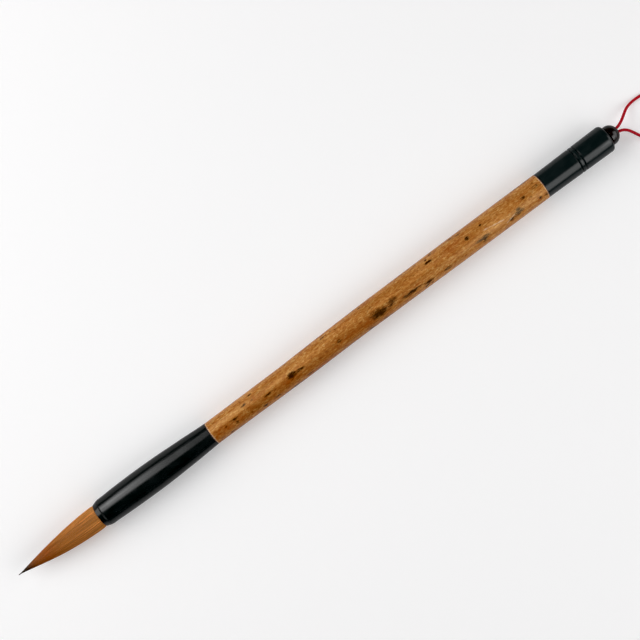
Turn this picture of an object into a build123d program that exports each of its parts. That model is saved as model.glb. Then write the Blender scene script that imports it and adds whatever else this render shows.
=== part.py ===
from build123d import *
import math
import os

# Calligraphy brush lying on its side.
# X runs along the brush from the hair's tip (-X) to the knob (+X), Z is up.
# The origin is under the middle of the brush, on the surface that it lies on.
# All sizes are in millimetres.

# ---------------------------------------------------------------- lengths
hair_length = 35.9          # hair that shows in front of the ferrule
ferrule_length = 50.2
cane_length = 149.7         # cane that shows between the ferrule and the cap
cap_length = 29.7
knob_length = 4.5           # knob that shows behind the cap

# ---------------------------------------------------------------- hair
hair_bulge = 0.30           # hair stands this far out of the mouth's bore
hair_fullness = 1.95        # how far the tuft keeps its width before it tapers
hair_pointing = 1.06        # how sharply it closes to the point
tip_radius = 0.10
core_radius = 2.60          # stiff inner column of the belly
belly_pivot = 7.0           # mouth to the first bend
point_pivot = 20.5          # mouth to the second bend
root_length = 12.6          # hair held inside the ferrule
root_waist = 0.55           # how far the thread pulls the root in
root_swell_length = 3.0     # from the thread back to full width
flare_length = 1.3          # hair opening out in front of the mouth

# ---------------------------------------------------------------- thread and resin
thread_diameter = 0.44
thread_turns = 7
thread_setback = 0.6        # bare root behind the last turn
resin_thickness = 1.5

# ---------------------------------------------------------------- ferrule
mouth_bore_radius = 4.40
lip_wall = 0.22             # at the front edge of the coned lip
lip_rise = 0.64             # how much the lip widens over its length
lip_length = 1.9
seat_step = 0.07            # from the lip up to the plain band behind it
seat_length = 2.6           # the plain band, where a protective cap sits
swell = 0.32                # from the plain band to the widest place
widest_from_mouth = 19.2
swell_middle = 0.72         # share of the swell reached half-way to the widest place
barrel_shares = ((0.35, 0.13), (0.70, 0.54))    # share of the way to the rear, share of the fall
ferrule_rear_radius = 4.50
ferrule_rear_edge = 0.15

# ---------------------------------------------------------------- cane
cane_front_radius = 4.46
cane_middle_radius = 4.90
cane_rear_radius = 5.08
cane_bore_radius = 2.10
cane_edge = 0.12
front_tenon_radius = 3.45
front_tenon_length = 11.0
rear_tenon_radius = 3.85
rear_tenon_length = 9.0

# ---------------------------------------------------------------- tail cap
cap_front_radius = 5.00
cap_waist_radius = 5.21     # at the first groove
cap_rear_radius = 5.37
cap_rear_rounding = 1.30
cap_grooves_at = (15.2, 16.8)   # behind the cap's front edge

# ---------------------------------------------------------------- knob and cord
knob_radius = 3.82
knob_flange = 0.75
knob_neck_radius = 2.90
knob_neck_length = 0.40
knob_stem_radius = 2.40
knob_stem_length = 9.0
cord_diameter = 1.15
knot_radius = 2.10
knot_tail_length = 2.6
cord_inset = 1.5            # the loop's strands start this deep in the knob's bore
cord_exit_run = 0.5         # and bend this far behind the knob

# ---------------------------------------------------------------- grooves, gaps and fits
groove_width = 0.46
groove_depth = 0.22
bend_gap = 0.30             # room between two lengths of hair that bend
root_clearance = 0.05       # radial, hair or thread in the ferrule
tenon_clearance = 0.03      # radial, tenon in its socket
tenon_end_gap = 0.50
stem_clearance = 0.03       # radial, stem of the knob in the cap
strand_gap = 0.06           # between the two strands in the knob's bore
cord_bore_clearance = 0.12
knot_clearance = 0.30       # round the knot in the cap's cavity

# Where each piece starts and ends along X.
overall_length = hair_length + ferrule_length + cane_length + cap_length + knob_length
tip_x = -overall_length / 2
mouth_x = tip_x + hair_length
ferrule_rear_x = mouth_x + ferrule_length
cane_rear_x = ferrule_rear_x + cane_length
cap_rear_x = cane_rear_x + cap_length
knob_end_x = cap_rear_x + knob_length
stem_end_x = cap_rear_x - knob_stem_length

# Radii that follow from the fits.
hair_radius = mouth_bore_radius + hair_bulge
root_radius = mouth_bore_radius - root_clearance
root_waist_radius = root_radius - root_waist
lip_front_radius = mouth_bore_radius + lip_wall
lip_rear_radius = lip_front_radius + lip_rise
seat_radius = lip_rear_radius + seat_step
ferrule_radius = seat_radius + swell
axis_z = max(ferrule_radius, cap_rear_radius, cane_rear_radius)
cord_radius = cord_diameter / 2
strand_offset = cord_radius + strand_gap / 2
cord_bore_radius = strand_offset + cord_radius + cord_bore_clearance
cap_cavity_radius = knot_radius + knot_clearance
cap_cavity_length = 2 * knot_radius + knot_tail_length + knot_clearance

# The hanging loop, seen from the knob: out along X, across along Y, and height above the table.
# It leaves the knob level, sinks to the table and closes in one loose turn.
loop_route = [
    (cord_exit_run, strand_offset, axis_z),
    (3.1, 1.55, 5.25),
    (5.9, 3.05, 3.80),
    (8.6, 4.45, 2.05),
    (11.9, 5.10, 0.85),
    (16.2, 4.95, cord_radius),
    (21.4, 4.15, cord_radius),
    (27.0, 2.70, cord_radius),
    (32.4, 0.40, cord_radius),
    (37.2, -3.10, cord_radius),
    (39.8, -7.80, cord_radius),
    (38.2, -12.40, cord_radius),
    (33.6, -14.90, cord_radius),
    (28.0, -15.10, cord_radius),
    (22.4, -14.60, cord_radius),
    (17.2, -14.00, cord_radius),
    (12.9, -12.60, cord_radius),
    (9.4, -10.10, 0.85),
    (6.7, -6.95, 2.10),
    (4.9, -4.15, 3.70),
    (3.1, -1.90, 5.15),
    (cord_exit_run, -strand_offset, axis_z),
]


def hair_outline(distance):
    """Radius of the dressed tuft at a distance in front of the mouth."""
    share = min(distance / hair_length, 1.0)
    return tip_radius + (hair_radius - tip_radius) * (1 - share**hair_fullness) ** hair_pointing


def point(x, radius):
    """A point of an outline: X along the brush, radius above its axis."""
    return (x, 0, axis_z + radius)


def turned(edges):
    """Spin a closed outline, given as a list of edges, about the brush's axis."""
    axis = Axis((0, 0, axis_z), (1, 0, 0))
    return revolve(make_face(Wire(edges)), axis)


def straight(*stations):
    """Straight edges through (x, radius) stations."""
    ends = [point(x, radius) for x, radius in stations]
    return [Line(a, b).edge() for a, b in zip(ends, ends[1:])]


def smooth(*stations):
    """One smooth edge through (x, radius) stations."""
    return [Spline(*[point(x, radius) for x, radius in stations]).edge()]


def rod(x_from, x_to, radius, y=0.0):
    """A plain round rod along X."""
    start = Plane(origin=(x_from, y, axis_z), x_dir=(0, 1, 0), z_dir=(1, 0, 0))
    return extrude(start * Circle(radius), x_to - x_from)


def ball(x, radius):
    return Pos(x, 0, axis_z) * Sphere(radius)


def half_ball(x, radius):
    """The half of a ball that faces the handle."""
    return ball(x, radius) & rod(x, x + 2 * radius, 2 * radius)


# ---------------------------------------------------------------- writing end
belly_x = mouth_x - belly_pivot
point_x = mouth_x - point_pivot
belly_ball_radius = hair_outline(belly_pivot)
point_ball_radius = hair_outline(point_pivot)
socket_floor_x = mouth_x + root_length + resin_thickness
root_end_x = mouth_x + root_length
binding_length = thread_turns * thread_diameter
binding_x = root_end_x - thread_setback


def tuft_form():
    """The whole dressed tuft in front of the mouth, as one turned form."""
    steps = 9
    outline = [(mouth_x, root_radius)]
    for step in range(steps + 1):
        distance = flare_length + (hair_length - flare_length) * step / steps
        outline.append((mouth_x - distance, hair_outline(distance)))
    edges = smooth(*outline)
    edges += straight(outline[-1], (tip_x, 0), (mouth_x, 0), outline[0])
    return turned(edges)


def root_bundle(form):
    """Hair held in the ferrule, with the short stiff length in front of the mouth."""
    waist_front_x = binding_x - binding_length
    held = turned(
        straight(
            (mouth_x, 0),
            (root_end_x, 0),
            (root_end_x, root_waist_radius),
            (waist_front_x, root_waist_radius),
            (waist_front_x - root_swell_length, root_radius),
            (mouth_x, root_radius),
            (mouth_x, 0),
        )
    )
    stub = form & rod(belly_x, mouth_x, 2 * hair_radius)
    return (held + stub) - ball(belly_x, belly_ball_radius + bend_gap)


def belly_form(form):
    """Middle length of the tuft, with a ball end towards the root."""
    body = form & rod(point_x, belly_x, 2 * hair_radius)
    back = half_ball(belly_x, belly_ball_radius)
    return (body + back) - ball(point_x, point_ball_radius + bend_gap)


def belly_core(form):
    return belly_form(form) & rod(point_x, mouth_x, core_radius)


def belly_cover(form):
    return belly_form(form) - rod(point_x - hair_length, mouth_x, core_radius)


def point_hairs(form):
    """Outer length of the tuft, down to the tip, with a ball end towards the belly."""
    body = form & rod(tip_x - 1, point_x, 2 * hair_radius)
    return body + half_ball(point_x, point_ball_radius)


def root_binding():
    """Thread wound tightly round the root, as one ribbed ring."""
    thread_radius = thread_diameter / 2
    inner = root_waist_radius
    edges = []
    for turn in range(thread_turns):
        x = binding_x - turn * thread_diameter
        crown = point(x - thread_radius, inner + thread_diameter)
        foot = inner + thread_radius
        edges.append(ThreePointArc(point(x, foot), crown, point(x - thread_diameter, foot)).edge())
    front_x = binding_x - binding_length
    edges += straight((front_x, inner + thread_radius), (front_x, inner), (binding_x, inner))
    edges += straight((binding_x, inner), (binding_x, inner + thread_radius))
    return turned(edges)


def root_resin():
    return rod(root_end_x, socket_floor_x, mouth_bore_radius)


def ferrule():
    """Black turned socket that holds the hair in front and the cane behind."""
    lip_x = mouth_x + lip_length
    seat_x = lip_x + groove_width
    swell_x = seat_x + seat_length
    widest_x = mouth_x + widest_from_mouth
    tail = ferrule_rear_x - widest_x
    fall = ferrule_radius - ferrule_rear_radius
    rear_bore_radius = front_tenon_radius + tenon_clearance
    rear_floor_x = ferrule_rear_x - front_tenon_length - tenon_end_gap
    edge = ferrule_rear_edge
    edges = straight(
        (socket_floor_x, 0),
        (socket_floor_x, mouth_bore_radius),
        (mouth_x, mouth_bore_radius),
        (mouth_x, lip_front_radius),
        (lip_x, lip_rear_radius),
        (lip_x + groove_width / 2, lip_rear_radius - groove_depth),
        (seat_x, seat_radius),
        (swell_x, seat_radius),
    )
    barrel = [(swell_x, seat_radius)]
    barrel.append(((swell_x + widest_x) / 2, seat_radius + swell_middle * swell))
    barrel.append((widest_x, ferrule_radius))
    for along, down in barrel_shares:
        barrel.append((widest_x + along * tail, ferrule_radius - down * fall))
    barrel.append((ferrule_rear_x - edge, ferrule_rear_radius))
    edges += smooth(*barrel)
    edges += straight(
        (ferrule_rear_x - edge, ferrule_rear_radius),
        (ferrule_rear_x, ferrule_rear_radius - edge),
        (ferrule_rear_x, rear_bore_radius),
        (rear_floor_x, rear_bore_radius),
        (rear_floor_x, 0),
        (socket_floor_x, 0),
    )
    return turned(edges)


# ---------------------------------------------------------------- handle
def bamboo_handle():
    """One stretch of cane, hollow, with a turned tenon at each end."""
    middle_x = (ferrule_rear_x + cane_rear_x) / 2
    front_end_x = ferrule_rear_x - front_tenon_length
    rear_end_x = cane_rear_x + rear_tenon_length
    edges = straight(
        (front_end_x, cane_bore_radius),
        (front_end_x, front_tenon_radius),
        (ferrule_rear_x, front_tenon_radius),
        (ferrule_rear_x, cane_front_radius - cane_edge),
        (ferrule_rear_x + cane_edge, cane_front_radius),
    )
    edges += smooth(
        (ferrule_rear_x + cane_edge, cane_front_radius),
        (middle_x, cane_middle_radius),
        (cane_rear_x - cane_edge, cane_rear_radius),
    )
    edges += straight(
        (cane_rear_x - cane_edge, cane_rear_radius),
        (cane_rear_x, cane_rear_radius - cane_edge),
        (cane_rear_x, rear_tenon_radius),
        (rear_end_x, rear_tenon_radius),
        (rear_end_x, cane_bore_radius),
        (front_end_x, cane_bore_radius),
    )
    return turned(edges)


def tail_cap():
    """Black turned cap on the cane's rear end, with two fine grooves."""
    socket_radius = rear_tenon_radius + tenon_clearance
    socket_end_x = cane_rear_x + rear_tenon_length + tenon_end_gap
    stem_bore_radius = knob_stem_radius + stem_clearance
    cavity_front_x = stem_end_x - cap_cavity_length
    first_groove = cap_grooves_at[0]
    slope = (cap_rear_radius - cap_waist_radius) / (cap_length - first_groove)
    edges = straight(
        (socket_end_x, 0),
        (socket_end_x, socket_radius),
        (cane_rear_x, socket_radius),
        (cane_rear_x, cap_front_radius),
    )
    outline = [(cane_rear_x, cap_front_radius)]
    for at in cap_grooves_at:
        radius = cap_waist_radius + slope * (at - first_groove)
        outline.append((cane_rear_x + at - groove_width / 2, radius))
        outline.append((cane_rear_x + at, radius - groove_depth))
        outline.append((cane_rear_x + at + groove_width / 2, radius))
    outline.append((cap_rear_x - cap_rear_rounding, cap_rear_radius))
    edges += straight(*outline)
    reach = cap_rear_rounding * math.sqrt(0.5)
    corner_radius = cap_rear_radius - cap_rear_rounding
    edges.append(
        ThreePointArc(
            point(cap_rear_x - cap_rear_rounding, cap_rear_radius),
            point(cap_rear_x - cap_rear_rounding + reach, corner_radius + reach),
            point(cap_rear_x, corner_radius),
        ).edge()
    )
    edges += straight(
        (cap_rear_x, corner_radius),
        (cap_rear_x, stem_bore_radius),
        (stem_end_x, stem_bore_radius),
        (stem_end_x, cap_cavity_radius),
        (cavity_front_x, cap_cavity_radius),
        (cavity_front_x, 0),
        (socket_end_x, 0),
    )
    return turned(edges)


def knob():
    """Domed button with a neck and a stem, bored for the cord's two strands."""
    flange_x = cap_rear_x + knob_neck_length
    dome_x = flange_x + knob_flange
    dome_length = knob_end_x - dome_x
    lean = math.acos(cord_bore_radius / knob_radius)
    scale = dome_length / math.sin(lean)
    edges = straight(
        (stem_end_x, cord_bore_radius),
        (stem_end_x, knob_stem_radius),
        (cap_rear_x, knob_stem_radius),
        (cap_rear_x, knob_neck_radius),
        (flange_x, knob_neck_radius),
        (flange_x, knob_radius),
        (dome_x, knob_radius),
    )
    steps = 6
    dome = []
    for step in range(steps + 1):
        turn = lean * step / steps
        dome.append((dome_x + scale * math.sin(turn), knob_radius * math.cos(turn)))
    edges += smooth(*dome)
    edges += straight((knob_end_x, cord_bore_radius), (stem_end_x, cord_bore_radius))
    return turned(edges)


# ---------------------------------------------------------------- cord
def cord_knot():
    """Overhand knot on the cord's two ends, with the strands that run out through the knob."""
    knot_x = stem_end_x - knot_radius
    solid = ball(knot_x, knot_radius)
    for side in (-1, 1):
        y = side * strand_offset
        solid += rod(knot_x, knob_end_x - cord_inset, cord_radius, y)
        solid += rod(knot_x - knot_radius - knot_tail_length, knot_x, cord_radius, y)
    return solid


def cord_path():
    """Path of the hanging loop and the radius of the bend at each of its corners."""
    points = [Vector(knob_end_x - cord_inset, strand_offset, axis_z)]
    points += [Vector(knob_end_x + out, across, height) for out, across, height in loop_route]
    points.append(Vector(knob_end_x - cord_inset, -strand_offset, axis_z))
    radii = []
    for before, corner, after in zip(points, points[1:], points[2:]):
        shorter = min((corner - before).length, (after - corner).length)
        turn = math.radians((corner - before).get_angle(after - corner))
        radii.append(0.45 * shorter / math.tan(turn / 2))
    return FilletPolyline(*points, radius=radii), radii


def hanging_cord():
    path, radii = cord_path()
    section = Plane(origin=path @ 0, z_dir=path % 0) * Circle(cord_radius)
    tube = sweep(section, path=path)
    print("cord length", round(path.length, 2), "mm")
    print("cord bend radii", [round(radius, 1) for radius in radii])
    print("tube volume over section times length", round(tube.volume / (section.area * path.length), 4))
    return tube


def main():
    form = tuft_form()
    nodes = {
        "point_hairs": point_hairs(form),
        "belly_cover": belly_cover(form),
        "belly_core": belly_core(form),
        "root_bundle": root_bundle(form),
        "root_binding": root_binding(),
        "root_resin": root_resin(),
        "ferrule": ferrule(),
        "bamboo_handle": bamboo_handle(),
        "tail_cap": tail_cap(),
        "knob": knob(),
        "cord_knot": cord_knot(),
        "hanging_cord": hanging_cord(),
    }
    os.makedirs("parts", exist_ok=True)
    for name, shape in nodes.items():
        export_step(shape, f"parts/{name}.step")
    print("overall length", overall_length, "mm")


main()
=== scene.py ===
# %% [markdown]
# # A calligraphy brush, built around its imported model
# A writing brush is a row of plain parts: a pointed tuft of hair, a black ferrule that grips it,
# a cane handle, a black tail cap and a small knob that holds a red hanging loop.
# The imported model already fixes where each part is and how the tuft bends.
# Blender's job is the surface: this lesson builds every visible part again, finer than the packed
# solids, and gives it the finish that the real material has.

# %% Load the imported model
import math
import random

import bpy
import numpy as np
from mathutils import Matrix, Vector, noise


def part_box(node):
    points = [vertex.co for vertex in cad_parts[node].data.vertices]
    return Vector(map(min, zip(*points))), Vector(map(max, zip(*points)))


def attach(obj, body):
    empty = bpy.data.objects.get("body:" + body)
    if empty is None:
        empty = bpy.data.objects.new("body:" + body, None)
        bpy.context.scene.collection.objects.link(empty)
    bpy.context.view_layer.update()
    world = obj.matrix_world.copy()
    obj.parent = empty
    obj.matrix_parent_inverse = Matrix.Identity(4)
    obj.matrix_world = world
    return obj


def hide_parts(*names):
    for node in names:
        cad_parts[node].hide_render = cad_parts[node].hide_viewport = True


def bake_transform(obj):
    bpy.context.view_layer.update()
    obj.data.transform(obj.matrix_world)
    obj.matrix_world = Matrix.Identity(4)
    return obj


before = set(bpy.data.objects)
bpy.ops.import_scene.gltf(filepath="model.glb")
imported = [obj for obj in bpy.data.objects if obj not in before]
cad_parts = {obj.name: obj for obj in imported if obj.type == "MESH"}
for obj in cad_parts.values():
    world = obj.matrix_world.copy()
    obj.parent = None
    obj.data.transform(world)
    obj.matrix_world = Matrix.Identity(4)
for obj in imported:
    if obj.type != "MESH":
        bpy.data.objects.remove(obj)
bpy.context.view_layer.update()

# %% [markdown]
# ## Landmarks
# The brush lies along X, with its tip towards -X, on a table at height 0.
# Every part is turned on one axis, so a part needs only distances along that axis and radii.
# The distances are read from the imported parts, so the two models can't drift apart.

# %% Read the landmarks
MM = 0.001
tip_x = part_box("point_hairs")[0].x
mouth_x, cane_front_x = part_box("ferrule")[0].x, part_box("ferrule")[1].x
cane_rear_x, cap_rear_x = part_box("tail_cap")[0].x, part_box("tail_cap")[1].x
knob_end_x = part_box("knob")[1].x
axis_z = (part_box("knob")[0].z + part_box("knob")[1].z) / 2
hair_length = mouth_x - tip_x
cane_length = cane_rear_x - cane_front_x
print("hair", round(hair_length / MM, 1), "mm, cane", round(cane_length / MM, 1), "mm")

# %% [markdown]
# ## Camera
# The view is straight down, turned so that the brush crosses the picture from the lower left to
# the upper right. The camera is under half a metre up, near enough for the ends of the turned
# parts to show as slightly curved lines, so its distance matters as much as its lens.

# %% Set up the camera
camera_data = bpy.data.cameras.new("straight_down")
camera_data.sensor_width = 36.0
camera_data.lens = 70.3
camera_data.clip_start = 0.01
camera = bpy.data.objects.new("straight_down", camera_data)
camera.location = (0.0073, 0.0091, 0.4597)
camera.rotation_euler = (0, 0, math.radians(-36.68))
bpy.context.collection.objects.link(camera)
bpy.context.scene.camera = camera
print("camera height", camera.location.z, "m")

# %% [markdown]
# ## The hanging loop's line
# The loop is one thin silk cord. Both strands come out of the knob side by side, sink to the
# table and close in a loose turn. A NURBS curve of order 3 gives the slack, even line of a limp
# cord from a few points. The points are given as (out from the knob, across, height).

# %% Lay the loop's line
loop_route = [
    (-1.5, 0.605, 5.65), (0.5, 0.605, 5.65), (3.1, 1.55, 5.25), (5.9, 3.05, 3.80),
    (8.6, 4.45, 2.05), (11.9, 5.10, 0.85), (16.2, 4.95, 0.575), (21.4, 4.15, 0.575),
    (27.0, 2.70, 0.575), (32.4, 0.40, 0.575), (37.2, -3.10, 0.575), (39.8, -7.80, 0.575),
    (38.2, -12.40, 0.575), (33.6, -14.90, 0.575), (28.0, -15.10, 0.575), (22.4, -14.60, 0.575),
    (17.2, -14.00, 0.575), (12.9, -12.60, 0.575), (9.4, -10.10, 0.85), (6.7, -6.95, 2.10),
    (4.9, -4.15, 3.70), (3.1, -1.90, 5.15), (0.5, -0.605, 5.65), (-1.5, -0.605, 5.65),
]
loop_curve = bpy.data.curves.new("loop_line", "CURVE")
loop_curve.dimensions = "3D"
loop_curve.resolution_u = 12
loop_spline = loop_curve.splines.new("NURBS")
loop_spline.points.add(len(loop_route) - 1)
for control, (out, across, height) in zip(loop_spline.points, loop_route):
    control.co = (knob_end_x + out * MM, across * MM, height * MM, 1)
loop_spline.order_u = 3
loop_spline.use_endpoint_u = True
loop_guide = bpy.data.objects.new("loop_line", loop_curve)
bpy.context.collection.objects.link(loop_guide)
loop_mesh = bpy.data.meshes.new_from_object(loop_guide)
loop_line = np.array([vertex.co for vertex in loop_mesh.vertices])
bpy.data.objects.remove(loop_guide)
loop_run = np.concatenate([[0], np.cumsum(np.linalg.norm(np.diff(loop_line, axis=0), axis=1))])
print("loop line", len(loop_line), "points,", round(loop_run[-1] / MM, 1), "mm")

# %% [markdown]
# ## Making a mesh
# Every part below ends as points, faces and a flat map, so one helper makes the object.
# The map is named OFBake and nothing in it overlaps, so that a finish can be baked through it.
# Numbers that a finish reads from the surface, such as a stain, are stored as point attributes.

# %% A helper that makes a piece
def make_piece(name, points, faces, flat_map, attributes=None):
    """Four-sided faces are shaded smooth, end faces flat. flat_map has one (u, v) for each corner."""
    mesh = bpy.data.meshes.new(name)
    mesh.from_pydata(np.asarray(points).tolist(), [], faces)
    layer = mesh.uv_layers.new(name="OFBake")
    layer.data.foreach_set("uv", np.asarray(flat_map, np.float32).ravel())
    for title, values in (attributes or {}).items():
        colour = np.ones((len(points), 4), np.float32)
        colour[:, : values.shape[1]] = values
        mesh.attributes.new(title, "FLOAT_COLOR", "POINT").data.foreach_set("color", colour.ravel())
    mesh.polygons.foreach_set("use_smooth", np.array([len(face) == 4 for face in faces]))
    for face in mesh.polygons:
        if face.loop_total != 4:
            for corner in face.loop_indices:
                mesh.edges[mesh.loops[corner].edge_index].use_edge_sharp = True
    piece = bpy.data.objects.new(name, mesh)
    bpy.context.collection.objects.link(piece)
    print(name, len(points), "points", len(faces), "faces")
    return piece


# %% A helper that numbers the faces of a grid
def grid_faces(rows, columns, joined):
    """Quads between rows of points. Each row is a closed ring; joined closes the last row to the first."""
    faces, spots = [], []
    for row in range(rows if joined else rows - 1):
        above = (row + 1) % rows
        for column in range(columns):
            beside = (column + 1) % columns
            corners = ((row, column), (above, column), (above, beside), (row, beside))
            faces.append([r * columns + c for r, c in corners])
            spots += [(row, column), (row + 1, column), (row + 1, column + 1), (row, column + 1)]
    return faces, np.array(spots, float)


# %% [markdown]
# ## Braiding the loop
# A round silk cord is a braid: half of its yarns wind one way, half the other, and each passes
# over and under those it meets. Sweeping eight flattened yarns along the line, with the two
# directions rising and sinking in turn, gives the real texture instead of a smooth tube.

# %% Frames along the loop
BRAID_STEP = 0.13 * MM
steps = int(loop_run[-1] / BRAID_STEP)
marks = np.linspace(0, loop_run[-1], steps + 1)
centres = np.stack([np.interp(marks, loop_run, loop_line[:, axis]) for axis in range(3)], axis=1)
for _ in range(3):
    centres[1:-1] = (centres[:-2] + 2 * centres[1:-1] + centres[2:]) / 4
ahead = np.gradient(centres, axis=0)
ahead /= np.linalg.norm(ahead, axis=1)[:, None]
side = np.zeros_like(ahead)
side[0] = (0, 0, 1)
for index in range(1, len(side)):
    turned = side[index - 1] - ahead[index] * np.dot(side[index - 1], ahead[index])
    side[index] = turned / np.linalg.norm(turned)
across = np.cross(side, ahead)
print("frames along the loop:", len(centres))

# %% Sweep the yarns
YARNS_EACH_WAY = 4
BRAID_PITCH = 3.1 * MM
YARN_SIDES = 6
YARN_WIDTH, YARN_THICKNESS = 0.31 * MM, 0.13 * MM
YARN_RADIUS, YARN_RISE = 0.43 * MM, 0.03 * MM
CORE_RADIUS = 0.34 * MM


def sweep(outward, sideways):
    """Rings of points around the line, from their offsets along side and across."""
    rings = centres[:, None, :] + outward[..., None] * side[:, None, :]
    return rings + sideways[..., None] * across[:, None, :]


corner_turns = np.arange(YARN_SIDES) * 2 * math.pi / YARN_SIDES
points, faces, flat_map = [], [], []
strand_count = 2 * YARNS_EACH_WAY + 1
for strand in range(strand_count):
    if strand < 2 * YARNS_EACH_WAY:
        way = 1 if strand < YARNS_EACH_WAY else -1
        turn = way * 2 * math.pi * marks / BRAID_PITCH + strand * 2 * math.pi / YARNS_EACH_WAY
        rise = YARN_RADIUS + way * YARN_RISE * np.cos(2 * YARNS_EACH_WAY * math.pi * marks / BRAID_PITCH)
        reach = rise[:, None] + YARN_THICKNESS * np.cos(corner_turns)[None, :]
        sweep_turn = turn[:, None] + YARN_WIDTH / YARN_RADIUS * np.sin(corner_turns)[None, :]
        rings = sweep(reach * np.cos(sweep_turn), reach * np.sin(sweep_turn))
    else:
        core_turns = np.broadcast_to(corner_turns, (len(marks), YARN_SIDES))
        rings = sweep(CORE_RADIUS * np.cos(core_turns), CORE_RADIUS * np.sin(core_turns))
    start = sum(len(ring) for ring in points)
    ring_faces, spots = grid_faces(len(marks), YARN_SIDES, joined=False)
    faces += [[start + corner for corner in face] for face in ring_faces]
    spots[:, 0] = 0.02 + 0.96 * spots[:, 0] / (len(marks) - 1)
    spots[:, 1] = (strand + 0.1 + 0.8 * spots[:, 1] / YARN_SIDES) / strand_count
    flat_map.append(spots)
    for end, row in ((0, 0), (1, len(marks) - 1)):
        ring = [start + row * YARN_SIDES + corner for corner in range(YARN_SIDES)]
        faces.append(ring if end == 0 else ring[::-1])
        flat_map.append(np.tile([[0.005 + 0.985 * end, (strand + 0.5) / strand_count]], (YARN_SIDES, 1)))
    points.append(rings.reshape(-1, 3))
braided_loop = make_piece("braided_loop", np.concatenate(points), faces, np.concatenate(flat_map))
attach(braided_loop, "handle")
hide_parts("hanging_cord")

# %% [markdown]
# ## Materials by recipe
# Each finish is a small graph of nodes around one Principled shader. Two helpers keep the cells
# short: one makes the material with its plain values, the other adds a node and wires it up.

# %% Helpers for materials
def paint(red, green, blue):
    """A screen colour, 0 to 255, as the linear colour that a shader takes."""
    shades = [value / 255 for value in (red, green, blue)]
    return (*[v / 12.92 if v < 0.04045 else ((v + 0.055) / 1.055) ** 2.4 for v in shades], 1)


def new_finish(name, **values):
    """A material and its shader. Underscores in a value's name stand for spaces."""
    material = bpy.data.materials.new(name)
    material.use_nodes = True
    shader = material.node_tree.nodes["Principled BSDF"]
    for title, value in values.items():
        shader.inputs[title.replace("_", " ")].default_value = value
    return material


def add_node(material, kind, wires=None, **settings):
    """A node. Each wire is an input's name or number with a value or another node's output."""
    node = material.node_tree.nodes.new("ShaderNode" + kind)
    for title, value in settings.items():
        setattr(node, title, value)
    for place, value in (wires or {}).items():
        if isinstance(value, bpy.types.NodeSocket):
            material.node_tree.links.new(value, node.inputs[place])
        else:
            node.inputs[place].default_value = value
    return node


def to_shader(material, place, output):
    """Wire an output into the named socket of the material's shader."""
    material.node_tree.links.new(output, material.node_tree.nodes["Principled BSDF"].inputs[place])


def stretched_noise(material, size, detail=3.0, roughness=0.55, distortion=0.0):
    """Noise whose grains have the given size along X, Y and Z, in millimetres."""
    place = add_node(material, "TexCoord").outputs["Object"]
    scale = tuple(1 / (length * MM) for length in size)
    spread = add_node(material, "Mapping", {"Vector": place, "Scale": scale})
    grain = {"Vector": spread.outputs[0], "Scale": 1.0, "Detail": detail, "Roughness": roughness}
    return add_node(material, "TexNoise", grain | {"Distortion": distortion}).outputs["Fac"]


def ramp(material, factor, *stops):
    """A colour ramp. Each stop is a place from 0 to 1 and a grey value or a colour."""
    node = add_node(material, "ValToRGB", {"Fac": factor})
    while len(node.color_ramp.elements) < len(stops):
        node.color_ramp.elements.new(0.5)
    for element, (place, colour) in zip(node.color_ramp.elements, stops):
        element.position = place
        element.color = colour if isinstance(colour, tuple) else (colour, colour, colour, 1)
    return node.outputs["Color"]


def blend_colours(material, factor, under, over, way="MIX"):
    """Two colours mixed. The colour sockets of a Mix node are inputs 6 and 7 and output 2."""
    wires = {0: factor, 6: under, 7: over}
    return add_node(material, "Mix", wires, data_type="RGBA", blend_type=way).outputs[2]


def combine(material, first, second, way="ADD"):
    """Two numbers added, or put together in another way."""
    return add_node(material, "Math", {0: first, 1: second}, operation=way).outputs[0]


def raise_surface(material, height, depth, strength=1.0):
    """Bump whose full range is the given depth in metres."""
    bump = add_node(material, "Bump", {"Height": height, "Distance": depth, "Strength": strength})
    to_shader(material, "Normal", bump.outputs["Normal"])


print("helpers ready")

# %% [markdown]
# ## Table and light
# The brush lies on a wide pale sheet whose far rim rises. It is faintly lit from inside, so that
# its shadows stay light. Black gloss stays black when it sees little that is bright. So, as a
# source of light, the sheet is dark towards its rim and the room is dim, and in reflections the
# sheet counts for half. Seen directly, sheet and room are pale all over. A real table can't do
# this, so it belongs to the stage alone, and no finish of the brush uses it.
# Soft panels hang over the brush, to the left of the ferrule and to the right of the cap, which is
# why the black parts show their long highlights on opposite sides. Each side has layers of
# different width, so that the highlight fades at its edges. A broad panel off each end fills in.
# The black level turns the deepest shades fully black, like a picture of high contrast.

# %% Lay the pale sheet
SHEET_GLOW = 0.21
rim = [(0.5, 0.0), (1.0, 0.0), (1.25, 0.02), (1.45, 0.09), (1.6, 0.22), (1.68, 0.4), (1.7, 0.7)]
around = 96
sheet_points = [
    (radius * math.cos(turn), radius * math.sin(turn), height)
    for radius, height in rim
    for turn in np.arange(around) * 2 * math.pi / around
]
sheet_faces, _ = grid_faces(len(rim), around, joined=False)
sheet_faces.append(list(range(around)))
sheet_corners = sum(len(face) for face in sheet_faces)
pale_sheet = make_piece("pale_sheet", sheet_points, sheet_faces, np.zeros((sheet_corners, 2)))
sheet = new_finish("pale_sheet", Roughness=0.9, Specular_IOR_Level=0.0, Emission_Strength=SHEET_GLOW)
sheet_place = add_node(sheet, "TexCoord").outputs["Object"]
from_middle = add_node(sheet, "VectorMath", {0: sheet_place}, operation="LENGTH").outputs["Value"]
PALE, HALF = (0.86, 0.855, 0.858, 1), (0.5, 0.5, 0.5, 1)
rays = add_node(sheet, "LightPath").outputs
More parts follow.
